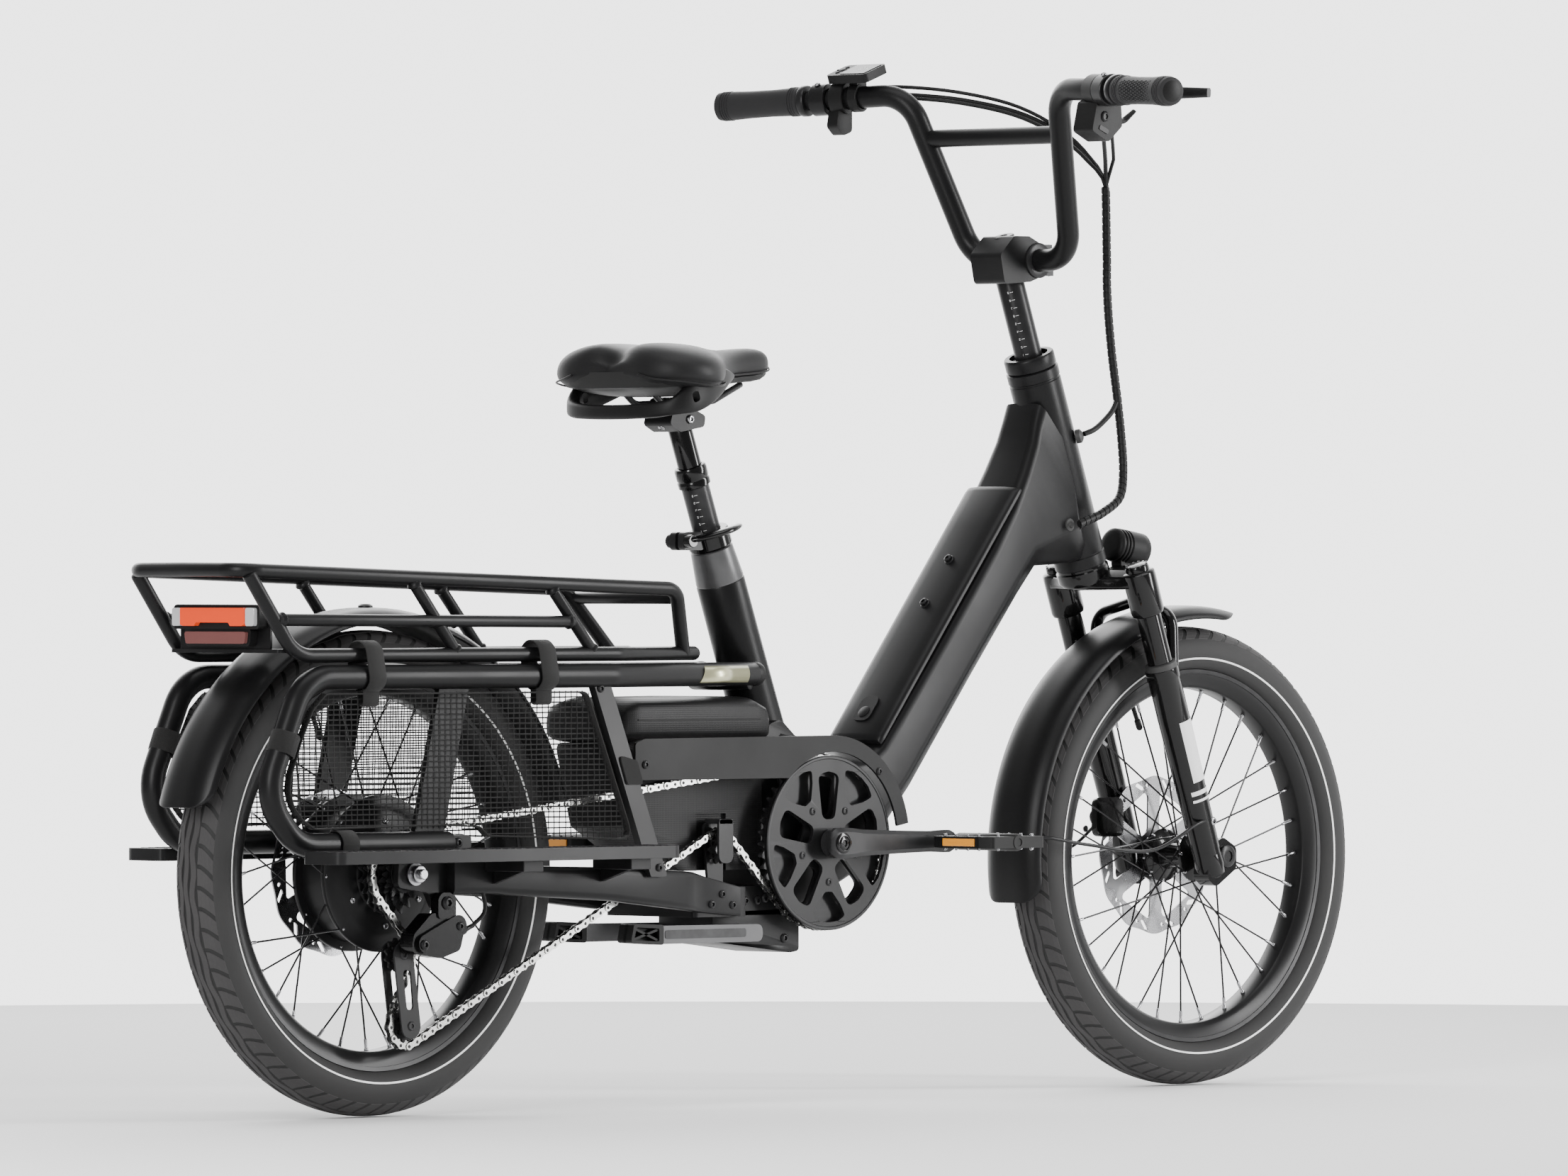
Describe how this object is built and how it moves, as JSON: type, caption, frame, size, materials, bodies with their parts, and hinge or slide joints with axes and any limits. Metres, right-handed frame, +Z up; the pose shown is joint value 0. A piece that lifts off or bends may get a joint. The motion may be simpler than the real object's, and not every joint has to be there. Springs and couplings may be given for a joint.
{
  "type": "cargo bicycle",
  "caption": "Electric longtail cargo bicycle with a step-through frame, long rear rack, side footboards, hub motor and sprung fork.",
  "frame": {"origin": "middle of the length at ground level, in the plane of the wheels", "axes": "+X forward, +Y to the rider's left, +Z up"},
  "size_m": [1.8013, 0.7124, 1.1541],
  "materials": {
    "frame_black": "matte powder coat",
    "gloss_black": "gloss",
    "plastic": "satin",
    "grip": "matte",
    "tyre": "matte with a white stripe",
    "steel": "bright",
    "alloy": "satin grey",
    "black_alloy": "satin anodised",
    "saddle": "smooth synthetic",
    "net": "woven",
    "lamp": "translucent",
    "housing": "satin",
    "screen": "gloss"
  },
  "bodies": {
    "frame": {"main_frame": "frame_black", "controller_housing": "housing", "rear_frame": "frame_black", "chain_guard": "plastic", "rear_rack": "frame_black", "footboard_right": "frame_black", "footboard_left": "frame_black", "side_net_right": "net", "side_net_left": "net", "rear_fender": "plastic", "tail_light": "lamp", "rear_axle": "steel", "rear_caliper": "gloss_black", "chain": "steel", "derailleur_body": "black_alloy", "seat_clamp": "black_alloy"},
    "battery_pack": {"battery": "housing"},
    "idler": {"chain_idler": "plastic"},
    "cage": {"derailleur_cage": "black_alloy"},
    "upper_jockey": {"jockey_wheel_upper": "plastic"},
    "lower_jockey": {"jockey_wheel_lower": "plastic"},
    "sprockets": {"cassette": "steel"},
    "crankset": {"chainring": "alloy", "crank_right": "black_alloy", "crank_left": "black_alloy"},
    "right_pedal": {"pedal_right": "plastic"},
    "left_pedal": {"pedal_left": "plastic"},
    "rear_wheel": {"rear_tyre": "tyre", "rear_rim": "black_alloy", "rear_spokes": "steel", "hub_motor": "black_alloy", "rear_rotor": "steel"},
    "fork": {"fork_crown": "gloss_black", "headlight": "plastic"},
    "fork_legs": {"fork_lowers": "gloss_black", "front_caliper": "gloss_black", "front_fender": "plastic"},
    "front_wheel": {"front_tyre": "tyre", "front_rim": "black_alloy", "front_spokes": "steel", "front_hub": "black_alloy", "front_rotor": "steel"},
    "stem_post": {"stem": "black_alloy"},
    "bar": {"handlebar": "black_alloy", "grip_left": "grip", "grip_right": "grip", "brake_perch_left": "gloss_black", "brake_perch_right": "gloss_black", "display": "screen", "cable_harness": "plastic"},
    "left_brake_lever": {"brake_lever_left": "gloss_black"},
    "right_brake_lever": {"brake_lever_right": "gloss_black"},
    "gear_lever": {"shift_lever": "black_alloy"},
    "throttle_paddle": {"throttle": "plastic"},
    "clamp_lever": {"seat_lever": "black_alloy"},
    "lower_post": {"seatpost_lower": "black_alloy"},
    "upper_post": {"seatpost_upper": "gloss_black", "saddle_shell": "plastic", "saddle_pad": "saddle"},
    "stand": {"centre_stand": "alloy"}
  },
  "joints": [
    {"name": "steering", "type": "hinge", "parent": "frame", "child": "fork", "pos_m": [0.404, 0, 0.793], "axis": [-0.3417, 0, 0.9398], "range_deg": [-45, 45], "deforming": ["cable_harness"]},
    {"name": "fork_travel", "type": "slide", "parent": "fork", "child": "fork_legs", "axis": [-0.3335, 0, 0.9427], "range_m": [0, 0.034], "stiffness_N_per_m": 9000, "springref_m": -0.035},
    {"name": "front_wheel_spin", "type": "hinge", "parent": "fork_legs", "child": "front_wheel", "pos_m": [0.64, 0, 0.26], "axis": [0, 1, 0], "continuous": true},
    {"name": "rear_wheel_spin", "type": "hinge", "parent": "frame", "child": "rear_wheel", "pos_m": [-0.627, 0, 0.26], "axis": [0, 1, 0], "continuous": true},
    {"name": "crank_spin", "type": "hinge", "parent": "frame", "child": "crankset", "pos_m": [0.008, 0, 0.284], "axis": [0, 1, 0], "continuous": true},
    {"name": "sprocket_spin", "type": "hinge", "parent": "frame", "child": "sprockets", "pos_m": [-0.627, 0, 0.26], "axis": [0, 1, 0], "continuous": true},
    {"name": "idler_spin", "type": "hinge", "parent": "frame", "child": "idler", "pos_m": [-0.15, 0, 0.279], "axis": [0, 1, 0], "continuous": true},
    {"name": "cage_swing", "type": "hinge", "parent": "frame", "child": "cage", "pos_m": [-0.632, 0, 0.174], "axis": [0, 1, 0], "range_deg": [-2, 2]},
    {"name": "upper_jockey_spin", "type": "hinge", "parent": "cage", "child": "upper_jockey", "pos_m": [-0.632, 0, 0.174], "axis": [0, 1, 0], "continuous": true},
    {"name": "lower_jockey_spin", "type": "hinge", "parent": "cage", "child": "lower_jockey", "pos_m": [-0.621, 0, 0.098], "axis": [0, 1, 0], "continuous": true},
    {"name": "right_pedal_spin", "type": "hinge", "parent": "crankset", "child": "right_pedal", "pos_m": [0.178, 0, 0.284], "axis": [0, 1, 0], "continuous": true},
    {"name": "left_pedal_spin", "type": "hinge", "parent": "crankset", "child": "left_pedal", "pos_m": [-0.162, 0, 0.284], "axis": [0, 1, 0], "continuous": true},
    {"name": "stem_height", "type": "slide", "parent": "fork", "child": "stem_post", "axis": [0.3417, 0, -0.9398], "range_m": [0, 0.05]},
    {"name": "bar_tilt", "type": "hinge", "parent": "stem_post", "child": "bar", "pos_m": [0.383, 0, 0.93], "axis": [0, 1, 0], "range_deg": [-10, 10]},
    {"name": "left_brake_pull", "type": "hinge", "parent": "bar", "child": "left_brake_lever", "pos_m": [0.32618, 0.22282, 1.1135], "axis": [0, 0, 1], "range_deg": [0, 14], "stiffness_Nm_per_rad": 2, "springref_deg": -8.59},
    {"name": "right_brake_pull", "type": "hinge", "parent": "bar", "child": "right_brake_lever", "pos_m": [0.32618, -0.22282, 1.1135], "axis": [0, 0, 1], "range_deg": [-14, 0], "stiffness_Nm_per_rad": 2, "springref_deg": 8.59},
    {"name": "gear_lever_push", "type": "hinge", "parent": "bar", "child": "gear_lever", "pos_m": [0.32353, -0.19582, 1.08065], "axis": [0, 0, 1], "range_deg": [0, 20], "stiffness_Nm_per_rad": 0.6, "springref_deg": -5.73},
    {"name": "throttle_push", "type": "hinge", "parent": "bar", "child": "throttle_paddle", "pos_m": [0.29575, 0.19872, 1.11452], "axis": [-0.2625, 0.964, -0.041], "range_deg": [0, 25], "stiffness_Nm_per_rad": 0.4, "springref_deg": -5.73},
    {"name": "seat_lever_open", "type": "hinge", "parent": "frame", "child": "clamp_lever", "pos_m": [-0.157, -0.017, 0.616], "axis": [-0.3496, 0, 0.9369], "range_deg": [-70, 0]},
    {"name": "seatpost_height", "type": "slide", "parent": "frame", "child": "lower_post", "axis": [-0.3496, 0, 0.9369], "range_m": [-0.045, 0.08]},
    {"name": "seat_suspension", "type": "slide", "parent": "lower_post", "child": "upper_post", "axis": [-0.3496, 0, 0.9369], "range_m": [-0.03, 0], "stiffness_N_per_m": 8000, "springref_m": 0.02},
    {"name": "stand_fold", "type": "hinge", "parent": "frame", "child": "stand", "pos_m": [-0.107, 0, 0.188], "axis": [0, 1, 0], "range_deg": [-85, 0], "stiffness_Nm_per_rad": 2, "springref_deg": 34.38},
    {"name": "battery_release", "type": "slide", "parent": "frame", "child": "battery_pack", "axis": [-0.783, 0, 0.622], "range_m": [0, 0.08]}
  ],
  "couplings": [
    {"joint": "sprocket_spin", "follows": "crank_spin", "ratio": 2.216},
    {"joint": "idler_spin", "follows": "crank_spin", "ratio": -4.529},
    {"joint": "upper_jockey_spin", "follows": "crank_spin", "ratio": -4.1364},
    {"joint": "lower_jockey_spin", "follows": "crank_spin", "ratio": 4.1364}
  ]
}
